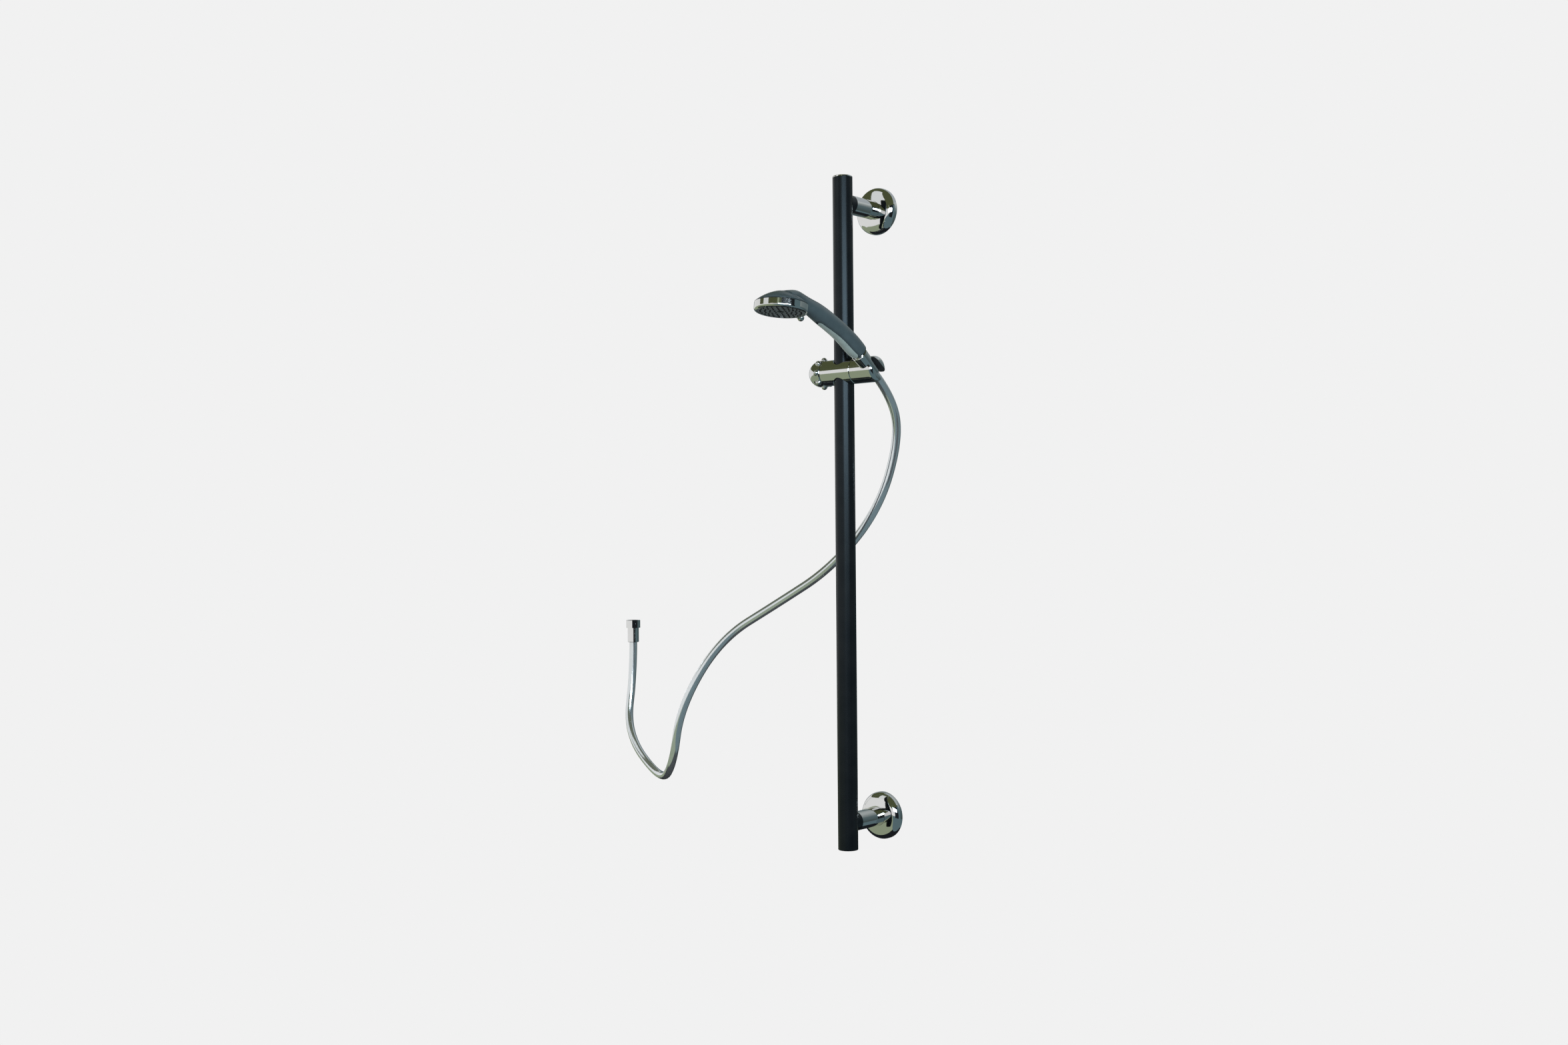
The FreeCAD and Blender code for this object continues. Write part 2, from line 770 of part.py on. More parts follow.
def dome(offset):
    """Back of the head above the selector ring, its surface moved outwards by offset."""
    base = ring_height + ring_gap
    side = polar(dome_middle, offset, 57)
    crown = polar(dome_crown, offset, 70)
    cap = polar(dome_crown_middle, offset, 80)
    rim = head_radius - ring_gap + offset
    top = head_height + offset
    profile = outline((rim, base), (side, crown), (cap, (0, top)), (0, base))
    return turned(profile, head_centre, head_up)


def on_head(height):
    """Point on the head's axis at a height above the spray face."""
    return head_centre + head_up * height


plate_back = plate_recess + spray_plate_thickness
mat_back = plate_back + mat_thickness
distributor_face = mat_back + distributor_gap
distributor_back = distributor_face + distributor_thickness
lip_radius = head_radius - ring_wall - ring_lip


def inlay_block(clearance, slit):
    """Tongue-shaped block through the underside of the handle, round at both ends and shorter
    by the slit at the head's end."""
    lower = clearance - inlay_length / 2
    upper = inlay_length / 2 - clearance - slit
    half_width = inlay_width / 2 - clearance
    half_tip = inlay_tip_width / 2 - clearance
    low_right = V(half_width, 0, lower + half_width)
    low_left = V(-half_width, 0, lower + half_width)
    high_right = V(half_tip, 0, upper - half_tip)
    high_left = V(-half_tip, 0, upper - half_tip)
    bulge = X_AXIS * inlay_bulge
    edges = [
        Part.Arc(low_left, V(0, 0, lower), low_right).toShape(),
        Part.Arc(low_right, (low_right + high_right) * 0.5 + bulge, high_right).toShape(),
        Part.Arc(high_right, V(0, 0, upper), high_left).toShape(),
        Part.Arc(high_left, (low_left + high_left) * 0.5 - bulge, low_left).toShape(),
    ]
    block = Part.Face(Part.Wire(edges)).extrude(V(0, -handle_swell_dia, 0))
    centre, turn = along_handle(inlay_centre)
    block.Placement = FreeCAD.Placement(centre, FreeCAD.Rotation(X_AXIS, math.degrees(turn)))
    return block


def make_handset_shell():
    outer = handle_loft(0, neck_spread).fuse(dome(0))
    swept = rod(head_dia + 4 * ring_gap, on_head(-head_radius), head_up, head_radius + ring_height + ring_gap)
    shell = outer.cut(swept)
    recess = inlay_block(0, 0).cut(handle_loft(-inlay_thickness, neck_spread))
    channel = handle_loft(-handle_wall - inlay_thickness / 2, neck_spread[:2])
    tail_bore = rod(nipple_tail_dia + 2 * push_fit, V(0, 0, handle_start), Z_AXIS, nipple_tail)
    plug = rod(2 * handle_swell_dia, V(0, 0, handle_start), Z_AXIS, nipple_tail)
    shell = shell.cut(recess).cut(channel.cut(plug)).cut(tail_bore).cut(dome(-dome_wall))
    boss = rod(boss_dia, on_head(distributor_back), head_up, head_height - dome_wall / 2 - distributor_back)
    pilot = rod(face_screw_dia + 2 * push_fit, on_head(distributor_back), head_up, face_screw_grip)
    return shell.fuse(boss.common(dome(-dome_wall / 2))).removeSplitter().cut(pilot)


def make_grip_inlay():
    skin = handle_loft(inlay_proud, neck_spread)
    floor = handle_loft(push_fit - inlay_thickness, neck_spread)
    return inlay_block(push_fit, inlay_slit).common(skin).cut(floor)


def make_nipple():
    thread_length = nipple_shoulder - nipple_start
    thread = rod(pipe_thread_dia - 2 * push_fit, V(0, 0, nipple_start), Z_AXIS, thread_length)
    flange = rod(nipple_flange_dia, V(0, 0, nipple_shoulder), Z_AXIS, nipple_flange - ring_gap)
    tail = rod(nipple_tail_dia, V(0, 0, nipple_shoulder), Z_AXIS, nipple_flange + nipple_tail)
    solid = thread.fuse([flange, tail]).removeSplitter()
    return solid.cut(rod(nipple_bore, V(0, 0, nipple_start), Z_AXIS, neck_end))


def make_selector_ring():
    inner = head_radius - ring_wall
    bottom = (head_radius - ring_rounding, ring_rounding)
    profile = outline(
        (inner, 0),
        (bottom[0], 0),
        (polar(bottom, ring_rounding, -45), (head_radius, ring_rounding)),
        (head_radius, ring_height - edge_break),
        (head_radius - edge_break, ring_height),
        (lip_radius, ring_height),
        (lip_radius, plate_back),
        (inner, plate_back),
    )
    body = turned(profile, head_centre, head_up)
    rear = V(0, math.sin(math.radians(head_angle)), -math.cos(math.radians(head_angle)))
    lever_base = on_head(lever_height + edge_break) + rear * (head_radius - ring_wall / 2)
    stem = rod(lever_stem_dia, lever_base, rear, lever_reach - head_radius)
    ball = Part.makeSphere(lever_ball_dia / 2, on_head(lever_height) + rear * lever_reach)
    lever = stem.fuse(ball).cut(rod(2 * inner, on_head(-head_radius), head_up, head_dia))
    return body.fuse(lever)


def nozzle_pattern(dia, base, height):
    """One rod for each nozzle, on its rings about the head's axis."""
    rods = []
    for i in range(nozzle_ring_count):
        radius = nozzle_first_ring + nozzle_ring_pitch * i
        one = rod(dia, on_head(base) + X_AXIS * radius, head_up, height)
        rods.extend(around(one, nozzles_per_ring * (i + 1), head_centre, head_up).Solids)
    return rods


def make_spray_plate():
    plate_radius = head_radius - ring_wall - push_fit
    plate = rod(2 * plate_radius, on_head(plate_recess), head_up, spray_plate_thickness)
    plate = plate.cut(nozzle_pattern(nozzle_dia + 2 * loose_fit, plate_recess, spray_plate_thickness))
    plate = plate.cut(rod(face_screw_dia + 2 * running_fit, on_head(0), head_up, plate_back))
    sink = plate_recess + face_screw_head
    return plate.cut(rod(face_screw_head_dia + 2 * loose_fit, on_head(0), head_up, sink))


def make_nozzle_mat():
    mat = rod(2 * (lip_radius - loose_fit), on_head(plate_back), head_up, mat_thickness)
    start = plate_recess - nozzle_proud
    mat = mat.fuse(nozzle_pattern(nozzle_dia, start, plate_back - start))
    return mat.removeSplitter().cut(rod(face_screw_dia + 2 * loose_fit, on_head(0), head_up, mat_back))


def make_water_distributor():
    disc = rod(2 * (lip_radius - loose_fit), on_head(distributor_face), head_up, distributor_thickness)
    lip_base = ring_height + ring_gap
    lip = rod(head_dia, on_head(lip_base), head_up, distributor_lip)
    disc = disc.fuse(lip.common(dome(-dome_wall - loose_fit))).removeSplitter()
    port_at = on_head(distributor_face) + X_AXIS * (distributor_port_circle / 2)
    port = rod(distributor_port_dia, port_at, head_up, head_height)
    disc = disc.cut(around(port, distributor_ports, head_centre, head_up))
    disc = disc.cut(rod(boss_dia + 2 * push_fit, on_head(distributor_back), head_up, head_height))
    return disc.cut(rod(face_screw_dia + 2 * push_fit, on_head(distributor_face), head_up, head_height))


def make_face_screw():
    shoulder = plate_recess + face_screw_head - running_fit
    tip = distributor_back + face_screw_grip - loose_fit
    screw = rod(face_screw_head_dia, on_head(shoulder - face_screw_head), head_up, face_screw_head)
    screw = screw.fuse(rod(face_screw_dia, on_head(shoulder), head_up, tip - shoulder)).removeSplitter()
    socket_at = on_head(shoulder - face_screw_head)
    return screw.cut(prism(6, face_screw_dia, socket_at, head_up, face_screw_head / 2))


parts["handset_shell"] = seated(make_handset_shell())
parts["grip_inlay"] = seated(make_grip_inlay())
parts["handset_nipple"] = seated(make_nipple())
parts["selector_ring"] = seated(make_selector_ring())
parts["spray_plate"] = seated(make_spray_plate())
parts["nozzle_mat"] = seated(make_nozzle_mat())
parts["water_distributor"] = seated(make_water_distributor())
parts["face_screw"] = seated(make_face_screw())

os.makedirs("parts", exist_ok=True)
for node, shape in parts.items():
    if not shape.isValid():
        print("not valid:", node)
    if len(shape.Solids) != 1:
        print("solids:", node, len(shape.Solids))
    if shape.ShapeType == "Compound" and len(shape.Solids) == 1:
        shape = shape.Solids[0]
    shape.exportStep("parts/%s.step" % node)
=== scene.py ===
import json
import math

import bpy
from mathutils import Matrix, Vector


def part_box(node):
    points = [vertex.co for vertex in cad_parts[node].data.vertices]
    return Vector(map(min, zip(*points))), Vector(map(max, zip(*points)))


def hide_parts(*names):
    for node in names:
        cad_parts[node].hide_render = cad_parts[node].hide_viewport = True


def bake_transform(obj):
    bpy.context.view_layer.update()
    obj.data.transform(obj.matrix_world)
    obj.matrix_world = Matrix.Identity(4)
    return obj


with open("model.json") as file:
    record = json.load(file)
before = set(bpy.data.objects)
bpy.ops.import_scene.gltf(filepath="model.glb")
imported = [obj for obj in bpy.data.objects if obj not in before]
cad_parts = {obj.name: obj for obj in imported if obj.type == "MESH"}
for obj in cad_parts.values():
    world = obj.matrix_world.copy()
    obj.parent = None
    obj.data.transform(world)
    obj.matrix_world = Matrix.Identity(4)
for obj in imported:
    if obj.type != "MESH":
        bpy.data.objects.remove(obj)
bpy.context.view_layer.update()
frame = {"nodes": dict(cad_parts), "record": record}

scene = bpy.context.scene
nodes = frame["nodes"]

# Camera, fitted to the photograph
PHOTO_WIDTH = 2352           # pixels
FOCAL_PIXELS = 2355.2
CAMERA_PLACE = (1.5497, -2.0521, 0.4439)
CAMERA_YAW = 40.600          # degrees, as the next two
CAMERA_PITCH = 0.764
CAMERA_ROLL = -0.469
SENSOR_WIDTH = 36.0          # millimetres

# Hose, with the route's points as in the part's source
HOSE_DIAMETER = 0.014
HOSE_ROUTE = [
    (0.05400, -0.09498, 0.71669),
    (0.05400, -0.03764, 0.67654),
    (0.052, -0.020, 0.607),
    (0.020, -0.033, 0.496),
    (-0.068, -0.047, 0.402),
    (-0.167, -0.067, 0.344),
    (-0.267, -0.102, 0.282),
    (-0.326, -0.138, 0.168),
    (-0.347, -0.136, 0.066),
    (-0.427, -0.084, 0.025),
    (-0.538, -0.063, 0.099),
    (-0.544, -0.038, 0.209),
    (-0.544, -0.038, 0.273),
]
HOSE_SIDES = 24
HOSE_STEPS = 24              # of the smooth line between two points of the route

# Slider's axis, along X, and the handset's seat on it, as in the part's source
SLIDER_AXIS = Vector((0.0, -0.094, 0.716))
SEAT_CENTRE = SLIDER_AXIS + Vector((0.054, 0.0, 0.0))
SEAT_LEAN = 35.0             # the seat's own axis above the horizontal, degrees
SLOT_HALF_WIDTH = 0.0095
SLOT_MARGIN = 0.0002

# Grip nubs of the clamp knob, as in the part's source
KNOB_NUBS = 8
NUB_RADIUS = 0.0049
NUB_CIRCLE_RADIUS = 0.021
NUB_FROM_FACE = 0.0052
NUB_MARGIN = 0.00005

# Dark and light tone of each coloured finish
BLACK_TONES = ((0.004, 0.005, 0.006), (0.007, 0.008, 0.009))
SILVER_TONES = ((0.68, 0.71, 0.72), (0.75, 0.78, 0.79))
HANDSET_TONES = ((0.046, 0.066, 0.074), (0.056, 0.080, 0.088))
INLAY_TONES = ((0.25, 0.31, 0.295), (0.30, 0.37, 0.35))
DARK_PLASTIC_TONES = ((0.115, 0.140, 0.142), (0.130, 0.156, 0.158))
PALE_PLASTIC_TONES = ((0.55, 0.55, 0.53), (0.62, 0.62, 0.60))
RUBBER_TONES = ((0.012, 0.014, 0.015), (0.018, 0.020, 0.021))
STEEL = (0.55, 0.55, 0.54)
BRASS = (0.66, 0.48, 0.22)
CHROME_DIM = (0.95, 0.96, 0.94)     # the darker tone of chrome, as a share of its tone
METAL_DIM = 0.8                     # the same for turned metal
TONE_SPAN = (0.3, 0.7)              # noise values between which dark runs to light

# Noise scales: clouds for the colour, grain for the roughness and the bump
BLACK_CLOUDS, BLACK_GRAIN = 40.0, 900.0
CHROME_CLOUDS, CHROME_SMEARS = 12.0, 30.0
PLASTIC_CLOUDS, PLASTIC_GRAIN = 60.0, 1400.0
METAL_CLOUDS, METAL_LINES = 80.0, 500.0
SILVER_CLOUDS, SILVER_GRAIN = 25.0, 300.0
NOISE_DETAIL = 3.0
LINE_DETAIL = 2.0
EVEN = (1.0, 1.0, 1.0)
ALONG_Y = (1.0, 0.05, 1.0)          # stretches the grain into lines along Y

# Roughness, from least to most, and as shares of a finish's own roughness
BLACK_ROUGHNESS = (0.23, 0.31)
SILVER_ROUGHNESS = (0.11, 0.17)
CHROME_SPREAD = (0.7, 1.5)
PLASTIC_SPREAD = (0.85, 1.2)
METAL_SPREAD = (0.7, 1.4)

# Bump
BUMP_STRENGTH = 0.3
BLACK_DEPTH = 0.00004
PLASTIC_DEPTH = 0.00003
METAL_DEPTH = 0.00005
NECK_SOFTNESS = 0.006               # radius that softens the edge between the handset's neck and dome

# Floor and background
FLOOR_HEIGHT = -0.8
FLOOR_RADIUS = 1.15
FLOOR_FADE = 0.65                   # where the floor starts to fade into the background
FLOOR_GREY = 0.8
FLOOR_ROUGHNESS = 0.9
FLOOR_LIFT = 0.20                   # brings the floor's grey up to the background's for the camera
BACKGROUND = 0.88                   # linear value of the photograph's pale grey
STUDIO_GLOW = 0.5

# Flat panels that the polished pieces reflect: name, two opposite corners and colour
OLIVE = (0.080, 0.092, 0.043)
PALE = (0.80, 0.82, 0.82)
LIGHT_GREY = (0.42, 0.46, 0.48)
BLUE_GREY = (0.11, 0.17, 0.19)
GREY_GREEN = (0.30, 0.35, 0.24)
DARK = (0.012, 0.014, 0.017)
ROOM = 5.2                          # half the width of the ceiling
GROUND_REACH = 11.0
GROUND = -0.85
NEAR_GROUND = -0.84                 # just above the ground
CEILING = 2.6
BACK_CEILING = 2.55                 # just below the ceiling, as the next
SKYLIGHT_HEIGHT = 2.5
WINDOW_DEPTH = -3.6
BACK = 2.5
RIGHT = 3.5
GROUND_SEAM = 0.35                  # where the left ground meets the right
CORNER = 0.3                        # where the right wall turns from dark to blue grey
PANELS = [
    ("ceiling", (-ROOM, -ROOM, CEILING), (ROOM, ROOM, CEILING), OLIVE),
    ("left_ground", (-GROUND_REACH, -GROUND_REACH, GROUND), (GROUND_SEAM, GROUND_REACH, GROUND), GREY_GREEN),
    ("right_ground", (GROUND_SEAM, -GROUND_REACH, GROUND), (GROUND_REACH, GROUND_REACH, GROUND), BLUE_GREY),
    ("near_ground", (-2.4, -0.55, NEAR_GROUND), (GROUND_SEAM, BACK, NEAR_GROUND), DARK),
    ("back_ceiling", (-1.2, 1.0, BACK_CEILING), (2.8, BACK, BACK_CEILING), LIGHT_GREY),
    ("right", (RIGHT, -4.0, GROUND), (RIGHT, CORNER, CEILING), DARK),
    ("far_right", (RIGHT, CORNER, GROUND), (RIGHT, BACK, CEILING), BLUE_GREY),
    ("front_ceiling", (-1.5, -9.0, CEILING), (ROOM, -ROOM, CEILING), OLIVE),
    ("window", (1.6, WINDOW_DEPTH, 1.3), (2.2, WINDOW_DEPTH, 2.5), GREY_GREEN),
]
SKYLIGHT = [
    (-3.9, -ROOM, SKYLIGHT_HEIGHT),
    (-1.3, -ROOM, SKYLIGHT_HEIGHT),
    (-0.1, -0.6, SKYLIGHT_HEIGHT),
    (-1.0, -0.6, SKYLIGHT_HEIGHT),
]
BACK_WALL = ((-ROOM, BACK, GROUND), (RIGHT, BACK, CEILING))
BACK_WALL_SHADES = [                # height and colour, from dim below to light above
    (GROUND, (0.060, 0.078, 0.075)),
    (0.2, (0.085, 0.125, 0.135)),
    (1.0, (0.11, 0.155, 0.165)),
    (1.7, (0.27, 0.31, 0.31)),
    (CEILING, (0.62, 0.66, 0.66)),
]

# Lamps: name, place, width and height, power, colour, and whether the pieces reflect it
OBJECT_MIDDLE = Vector((0.0, -0.1, 0.55))
LAMPS = [
    ("key", (2.4, -1.9, 1.15), (2.8, 0.75), 70.0, (0.80, 0.98, 1.1), True),
    ("fill", (-1.8, -1.8, 1.2), (0.8, 1.4), 15.0, (1.0, 1.0, 1.0), False),
]


# Shader nodes

def new_material(name):
    """Material with one Principled shader, and that shader."""
    material = bpy.data.materials.new(name)
    material.use_nodes = True
    return material, material.node_tree.nodes["Principled BSDF"]


def plain(shader, colour, roughness):
    """One colour and roughness all over."""
    shader.inputs["Base Color"].default_value = (*colour, 1.0)
    shader.inputs["Roughness"].default_value = roughness


def add(owner, kind, **inputs):
    """Node of a kind in a material's or the world's tree, with the named inputs set."""
    node = owner.node_tree.nodes.new(kind)
    for name, value in inputs.items():
        node.inputs[name.replace("_", " ")].default_value = value
    return node


def join(owner, source, target):
    owner.node_tree.links.new(source, target)


def object_coordinates(material):
    return add(material, "ShaderNodeTexCoord").outputs["Object"]


def noise(material, scale, detail=NOISE_DETAIL, stretch=EVEN):
    """Noise value in the object's own coordinates."""
    mapping = add(material, "ShaderNodeMapping", Scale=stretch)
    join(material, object_coordinates(material), mapping.inputs["Vector"])
    texture = add(material, "ShaderNodeTexNoise", Scale=scale, Detail=detail)
    join(material, mapping.outputs["Vector"], texture.inputs["Vector"])
    return texture.outputs["Fac"]


def ramp(material, value, stops):
    """Colour that a value picks from stops, each a position and a colour."""
    node = add(material, "ShaderNodeValToRGB")
    elements = node.color_ramp.elements
    while len(elements) < len(stops):
        elements.new(1.0)
    for element, (position, colour) in zip(elements, stops):
        element.position = position
        element.color = (*colour, 1.0)
    join(material, value, node.inputs["Fac"])
    return node.outputs["Color"]


def colour_by(material, shader, value, tones):
    """Colour that runs from a dark to a light tone with a value."""
    join(material, ramp(material, value, list(zip(TONE_SPAN, tones))), shader.inputs["Base Color"])


def roughness_by(material, shader, value, limits):
    """Roughness that runs between two limits with a value."""
    span = add(material, "ShaderNodeMapRange", To_Min=limits[0], To_Max=limits[1])
    join(material, value, span.inputs["Value"])
    join(material, span.outputs["Result"], shader.inputs["Roughness"])


def bump_by(material, shader, value, depth, softness=0.0):
    """Bump from a value, over edges that are softened within a radius."""
    bump = add(material, "ShaderNodeBump", Distance=depth, Strength=BUMP_STRENGTH)
    join(material, value, bump.inputs["Height"])
    if softness > 0:
        soft = add(material, "ShaderNodeBevel", Radius=softness)
        join(material, soft.outputs["Normal"], bump.inputs["Normal"])
    join(material, bump.outputs["Normal"], shader.inputs["Normal"])


# Finishes

def shares(amount, parts):
    return tuple(amount * part for part in parts)


def make_black_coat():
    material, shader = new_material("black_coat")
    shader.inputs["Specular IOR Level"].default_value = 0.22
    shader.inputs["Specular Tint"].default_value = (0.75, 0.9, 1.0, 1.0)
    fine = noise(material, BLACK_GRAIN)
    colour_by(material, shader, noise(material, BLACK_CLOUDS), BLACK_TONES)
    roughness_by(material, shader, fine, BLACK_ROUGHNESS)
    bump_by(material, shader, fine, BLACK_DEPTH)
    return material


def make_chrome(name, roughness, tone):
    """Plated metal with faint smears."""
    material, shader = new_material(name)
    shader.inputs["Metallic"].default_value = 1.0
    tones = (shares(tone, CHROME_DIM), (tone, tone, tone))
    colour_by(material, shader, noise(material, CHROME_CLOUDS), tones)
    roughness_by(material, shader, noise(material, CHROME_SMEARS), shares(roughness, CHROME_SPREAD))
    return material


def make_plastic(name, tones, roughness, softness=0.0):
    """Moulded plastic or rubber with a fine grain."""
    material, shader = new_material(name)
    fine = noise(material, PLASTIC_GRAIN)
    colour_by(material, shader, noise(material, PLASTIC_CLOUDS), tones)
    roughness_by(material, shader, fine, shares(roughness, PLASTIC_SPREAD))
    bump_by(material, shader, fine, PLASTIC_DEPTH, softness)
    return material


def make_turned_metal(name, colour, roughness):
    """Bare metal with fine lines from turning."""
    material, shader = new_material(name)
    shader.inputs["Metallic"].default_value = 1.0
    lines = noise(material, METAL_LINES, LINE_DETAIL, ALONG_Y)
    colour_by(material, shader, noise(material, METAL_CLOUDS), (shares(METAL_DIM, colour), colour))
    roughness_by(material, shader, lines, shares(roughness, METAL_SPREAD))
    bump_by(material, shader, lines, METAL_DEPTH)
    return material


def make_hose_silver():
    """Smooth silver hose under a thin clear skin."""
    material, shader = new_material("hose_silver")
    shader.inputs["Metallic"].default_value = 0.9
    shader.inputs["Coat Weight"].default_value = 0.5
    shader.inputs["Coat Roughness"].default_value = 0.08
    colour_by(material, shader, noise(material, SILVER_CLOUDS), SILVER_TONES)
    roughness_by(material, shader, noise(material, SILVER_GRAIN), SILVER_ROUGHNESS)
    return material


materials = {
    "black_coat": make_black_coat(),
    "chrome": make_chrome("chrome", roughness=0.05, tone=0.75),
    "chrome_plastic": make_chrome("chrome_plastic", roughness=0.07, tone=0.72),
    "satin_chrome": make_chrome("satin_chrome", roughness=0.20, tone=0.68),
    "handset_grey": make_plastic("handset_grey", HANDSET_TONES, roughness=0.24, softness=NECK_SOFTNESS),
    "inlay": make_plastic("inlay", INLAY_TONES, roughness=0.22),
    "dark_plastic": make_plastic("dark_plastic", DARK_PLASTIC_TONES, roughness=0.42),
    "pale_plastic": make_plastic("pale_plastic", PALE_PLASTIC_TONES, roughness=0.45),
    "rubber": make_plastic("rubber", RUBBER_TONES, roughness=0.6),
    "steel": make_turned_metal("steel", STEEL, roughness=0.3),
    "brass": make_turned_metal("brass", BRASS, roughness=0.28),
    "hose_silver": make_hose_silver(),
}


def dress_nodes():
    """Gives every node the finish of its slot in the record."""
    for subpart in frame["record"]["subparts"]:
        data = nodes[subpart["node"]].data
        data.materials.clear()
        data.materials.append(materials[subpart["material_slot"]])


def second_finish(node, finish, chosen):
    """Gives a node's chosen faces a finish of their own."""
    data = nodes[node].data
    data.materials.append(materials[finish])
    for face in data.polygons:
        if chosen(face.center):
            face.material_index = 1


def shade_slot_walls():
    """Dark rubber finish on the two walls of the slot that opens the handset's seat, as painted shade where
    the slot's inside lies in shadow.
    """
    lean = math.radians(SEAT_LEAN)
    across = Vector((0.0, math.sin(lean), math.cos(lean)))

    def in_slot(place):
        from_seat = place - SEAT_CENTRE
        return from_seat.x > 0 and abs(from_seat.dot(across)) < SLOT_HALF_WIDTH + SLOT_MARGIN

    # painted shade: the slot's walls take the dark rubber finish
    second_finish("holder_body", "rubber", in_slot)


def dull_nubs():
    """Satin finish on the grip nubs of the clamp knob."""
    knob_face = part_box("clamp_knob")[1][0]
    middle = SLIDER_AXIS + Vector((knob_face - NUB_FROM_FACE, 0.0, 0.0))
    centres = []
    for k in range(KNOB_NUBS):
        angle = 2 * math.pi * k / KNOB_NUBS
        centres.append(middle + NUB_CIRCLE_RADIUS * Vector((0.0, math.sin(angle), math.cos(angle))))

    def on_nub(place):
        return min((place - centre).length for centre in centres) < NUB_RADIUS + NUB_MARGIN

    second_finish("clamp_knob", "satin_chrome", on_nub)


# Hose

def make_hose_line():
    """The route as a smooth line, with no thickness."""
    curve = bpy.data.curves.new("hose_line", "CURVE")
    curve.dimensions = "3D"
    spline = curve.splines.new("NURBS")
    spline.points.add(len(HOSE_ROUTE) - 1)
    for point, place in zip(spline.points, HOSE_ROUTE):
        point.co = (*place, 1.0)
    spline.order_u = 3
    spline.use_endpoint_u = True
    spline.resolution_u = HOSE_STEPS
    return curve


def points_of(curve):
    """Points along a curve that has no bevel."""
    holder = bpy.data.objects.new("hose_line", curve)
    mesh = bpy.data.meshes.new_from_object(holder)
    line = [vertex.co.copy() for vertex in mesh.vertices]
    bpy.data.objects.remove(holder)
    bpy.data.meshes.remove(mesh)
    return line


def sweep_tube(name, line, radius, sides):
    """Closed round tube along a line of points, its rings kept from twisting."""
    vertices = []
    faces = []
    side = Vector((1.0, 0.0, 0.0))
    for i, point in enumerate(line):
        ahead = line[min(i + 1, len(line) - 1)] - line[max(i - 1, 0)]
        ahead.normalize()
        side = (side - ahead * side.dot(ahead)).normalized()
        across = ahead.cross(side)
        for k in range(sides):
            angle = 2 * math.pi * k / sides
            vertices.append(point + radius * (math.cos(angle) * side + math.sin(angle) * across))
    for i in range(len(line) - 1):
        for k in range(sides):
            a = i * sides + k
            b = i * sides + (k + 1) % sides
            faces.append((a, b, b + sides, a + sides))
    faces.append(tuple(reversed(range(sides))))
    faces.append(tuple(range(len(vertices) - sides, len(vertices))))
    mesh = bpy.data.meshes.new(name)
    mesh.from_pydata(vertices, [], faces)
    for polygon in mesh.polygons:
        polygon.use_smooth = len(polygon.vertices) == 4
    piece = bpy.data.objects.new(name, mesh)
    scene.collection.objects.link(piece)
    return piece


def make_hose():
    line = points_of(make_hose_line())
    hose = sweep_tube("hose_tube", line, HOSE_DIAMETER / 2, HOSE_SIDES)
    hose.data.materials.append(materials["hose_silver"])
    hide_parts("hose")
    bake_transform(hose)


# Studio

def make_camera():
    yaw = math.radians(CAMERA_YAW)
    pitch = math.radians(CAMERA_PITCH)
    roll = math.radians(CAMERA_ROLL)
    forward = Vector((-math.sin(yaw) * math.cos(pitch), math.cos(yaw) * math.cos(pitch), math.sin(pitch)))
    level_right = Vector((math.cos(yaw), math.sin(yaw), 0.0))
    level_up = level_right.cross(forward)
    right = math.cos(roll) * level_right + math.sin(roll) * level_up
    up = math.cos(roll) * level_up - math.sin(roll) * level_right
    data = bpy.data.cameras.new("camera")
    data.sensor_width = SENSOR_WIDTH
    data.lens = SENSOR_WIDTH * FOCAL_PIXELS / PHOTO_WIDTH
    camera = bpy.data.objects.new("camera", data)
    camera.matrix_world = Matrix((
        (right.x, up.x, -forward.x, CAMERA_PLACE[0]),
        (right.y, up.y, -forward.y, CAMERA_PLACE[1]),
        (right.z, up.z, -forward.z, CAMERA_PLACE[2]),
        (0.0, 0.0, 0.0, 1.0),
    ))
    scene.collection.objects.link(camera)
    scene.camera = camera


def larger(owner, first, second):
    """The larger of two values."""
    node = add(owner, "ShaderNodeMath")
    node.operation = "MAXIMUM"
    join(owner, first, node.inputs[0])
    join(owner, second, node.inputs[1])
    return node.outputs["Value"]


def make_world():
    """The background's grey to the camera and in reflections, and a dimmer glow to other light."""
    world = bpy.data.worlds.new("studio")
    world.use_nodes = True
    glow = world.node_tree.nodes["Background"]
    glow.inputs["Color"].default_value = (STUDIO_GLOW, STUDIO_GLOW, STUDIO_GLOW, 1.0)
    pale = add(world, "ShaderNodeBackground", Color=(BACKGROUND, BACKGROUND, BACKGROUND, 1.0))
    path = add(world, "ShaderNodeLightPath").outputs
    direct = larger(world, path["Is Camera Ray"], path["Is Transmission Ray"])
    mix = add(world, "ShaderNodeMixShader")
    join(world, larger(world, direct, path["Is Glossy Ray"]), mix.inputs["Fac"])
    join(world, glow.outputs["Background"], mix.inputs[1])
    join(world, pale.outputs["Background"], mix.inputs[2])
    join(world, mix.outputs["Shader"], world.node_tree.nodes["World Output"].inputs["Surface"])
    scene.world = world


def make_sheet(name, corners):
    """Flat four-cornered piece of the studio, with its material and shader."""
    mesh = bpy.data.meshes.new(name)
    mesh.from_pydata(corners, [], [(0, 1, 2, 3)])
    sheet = bpy.data.objects.new(name, mesh)
    material, shader = new_material(name)
    mesh.materials.append(material)
    scene.collection.objects.link(sheet)
    return sheet, material, shader


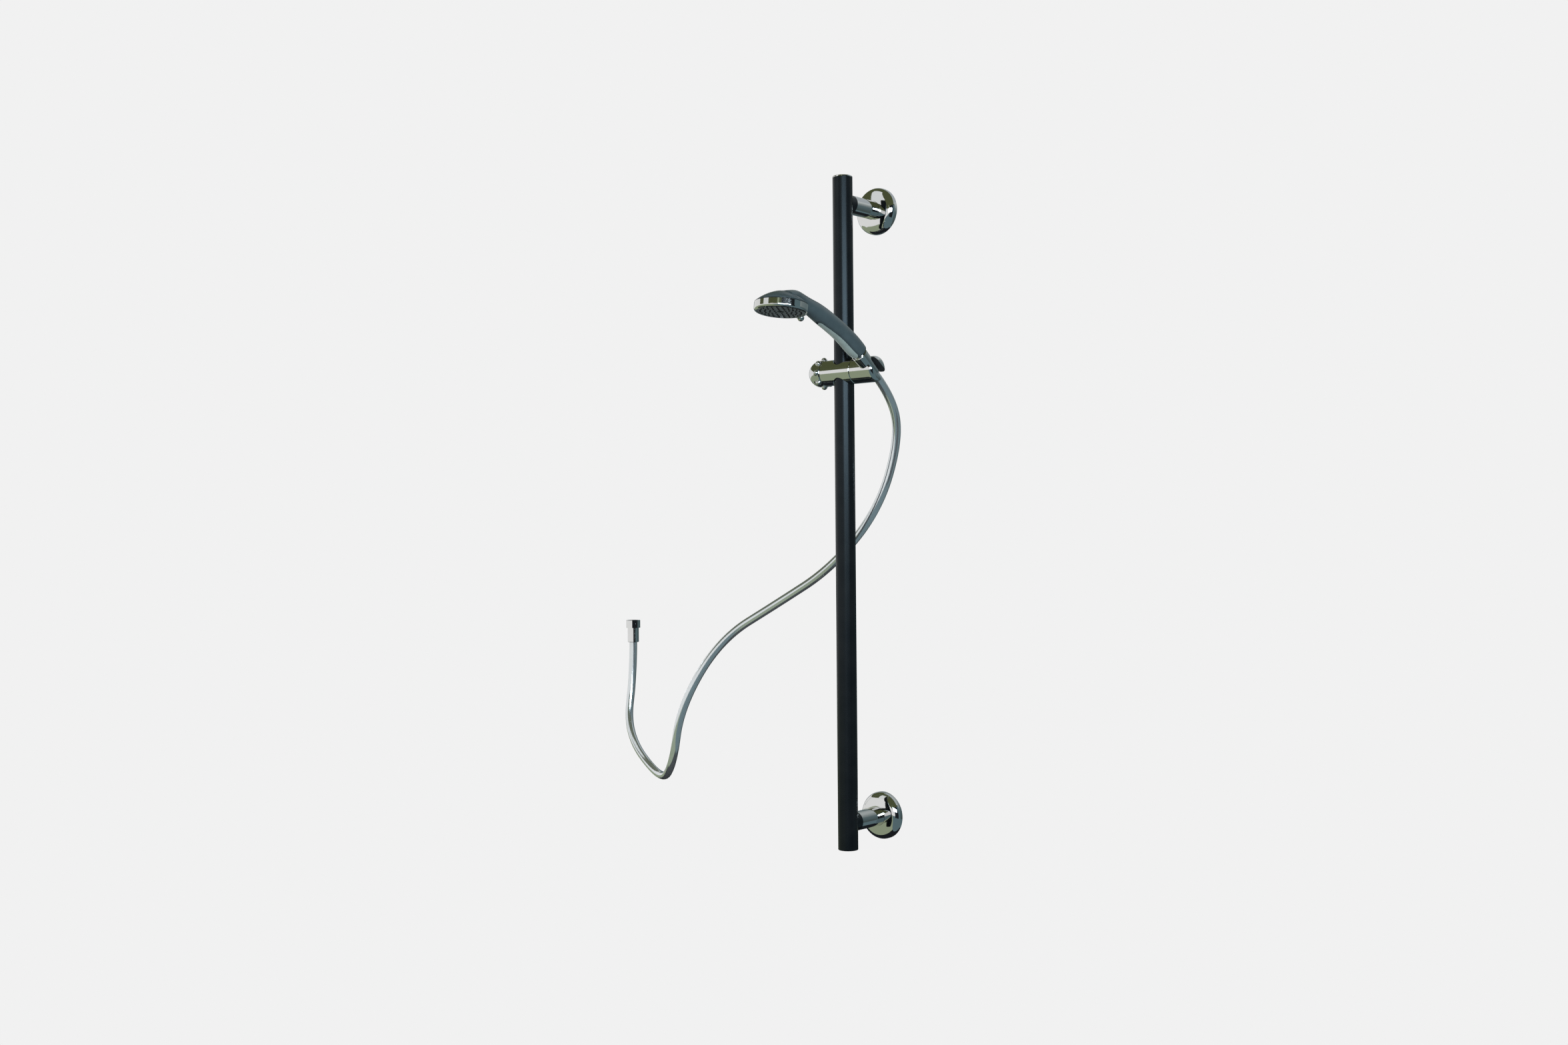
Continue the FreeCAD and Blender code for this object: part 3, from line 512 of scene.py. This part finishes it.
def make_floor():
    """Pale round floor that fades out towards its rim and keeps the object's shadow."""
    reach = FLOOR_RADIUS
    corners = [(-reach, -reach, 0), (reach, -reach, 0), (reach, reach, 0), (-reach, reach, 0)]
    floor, material, shader = make_sheet("floor", corners)
    floor.location.z = FLOOR_HEIGHT
    floor.visible_glossy = False
    plain(shader, (FLOOR_GREY, FLOOR_GREY, FLOOR_GREY), FLOOR_ROUGHNESS)
    shader.inputs["Emission Color"].default_value = (FLOOR_LIFT, FLOOR_LIFT, FLOOR_LIFT, 1.0)
    path = add(material, "ShaderNodeLightPath").outputs
    join(material, path["Is Camera Ray"], shader.inputs["Emission Strength"])
    distance = add(material, "ShaderNodeVectorMath")
    distance.operation = "LENGTH"
    join(material, object_coordinates(material), distance.inputs[0])
    fade = add(material, "ShaderNodeMapRange", From_Min=FLOOR_FADE, From_Max=FLOOR_RADIUS,
               To_Min=1.0, To_Max=0.0)
    join(material, distance.outputs["Value"], fade.inputs["Value"])
    join(material, fade.outputs["Result"], shader.inputs["Alpha"])


def make_flag(name, corners, colour):
    """Plain coloured panel beside the object, seen only in its reflections."""
    flag, material, shader = make_sheet(name, corners)
    flag.visible_camera = False
    flag.visible_diffuse = False
    flag.visible_transmission = False
    flag.visible_shadow = False
    plain(shader, (0.0, 0.0, 0.0), 1.0)
    shader.inputs["Specular IOR Level"].default_value = 0.0
    shader.inputs["Emission Color"].default_value = (*colour, 1.0)
    shader.inputs["Emission Strength"].default_value = 1.0
    return material, shader


def rectangle(low, high):
    """Corners of a level or upright rectangle between two opposite corners."""
    i, j = [k for k in range(3) if low[k] != high[k]]
    first, second = list(low), list(low)
    first[i] = high[i]
    second[j] = high[j]
    return [low, first, high, second]


def make_back_wall():
    """Panel behind the object that grows lighter with height."""
    material, shader = make_flag("back_wall", rectangle(*BACK_WALL), LIGHT_GREY)
    split = add(material, "ShaderNodeSeparateXYZ")
    join(material, object_coordinates(material), split.inputs["Vector"])
    share = add(material, "ShaderNodeMapRange", From_Min=GROUND, From_Max=CEILING)
    join(material, split.outputs["Z"], share.inputs["Value"])
    stops = [((height - GROUND) / (CEILING - GROUND), colour) for height, colour in BACK_WALL_SHADES]
    join(material, ramp(material, share.outputs["Result"], stops), shader.inputs["Emission Color"])


def make_flags():
    """Ceiling, ground and walls on three sides, open to the pale background on the left."""
    for name, low, high, colour in PANELS:
        make_flag(name, rectangle(low, high), colour)
    make_flag("skylight", SKYLIGHT, PALE)
    make_back_wall()


def make_softbox(name, place, size, power, colour, reflected):
    """Rectangular lamp that faces the middle of the object."""
    data = bpy.data.lights.new(name, "AREA")
    data.color = colour
    data.shape = "RECTANGLE"
    data.size, data.size_y = size
    data.energy = power
    lamp = bpy.data.objects.new(name, data)
    lamp.visible_glossy = reflected
    lamp.location = place
    lamp.rotation_euler = (OBJECT_MIDDLE - Vector(place)).to_track_quat("-Z", "Y").to_euler()
    scene.collection.objects.link(lamp)


dress_nodes()
# painted shade on the walls of the seat's slot
shade_slot_walls()
dull_nubs()
make_hose()
make_camera()
make_world()
make_floor()
make_flags()
for lamp in LAMPS:
    make_softbox(*lamp)

scene.view_settings.view_transform = "Standard"
